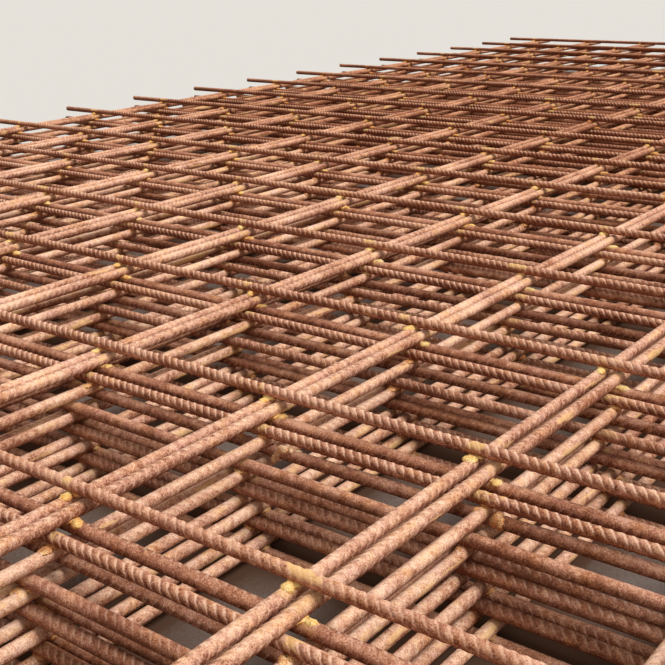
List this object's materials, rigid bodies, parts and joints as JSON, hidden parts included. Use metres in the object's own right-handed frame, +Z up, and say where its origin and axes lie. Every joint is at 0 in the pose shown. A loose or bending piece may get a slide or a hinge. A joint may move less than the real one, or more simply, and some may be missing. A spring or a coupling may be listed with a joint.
{
  "type": "stack of reinforcing mesh sheets",
  "caption": "Flat stack of welded reinforcing mesh sheets of rusty ribbed bars, alternate sheets turned over and nested.",
  "frame": {"origin": "under the middle of the stack, on the plane that its lowest bars rest on", "axes": "+X along the cross bars, +Y along the long bars, +Z up"},
  "size_m": [2.0634, 3.6604, 0.1167],
  "materials": {
    "rusty_steel": "hot rolled ribbed bar, rusted all over"
  },
  "bodies": {
    "root": {"mesh_sheet_1": "rusty_steel", "mesh_sheet_2": "rusty_steel", "mesh_sheet_3": "rusty_steel", "mesh_sheet_4": "rusty_steel", "mesh_sheet_5": "rusty_steel", "mesh_sheet_6": "rusty_steel", "mesh_sheet_7": "rusty_steel", "mesh_sheet_8": "rusty_steel", "mesh_sheet_9": "rusty_steel", "mesh_sheet_10": "rusty_steel"}
  },
  "joints": []
}
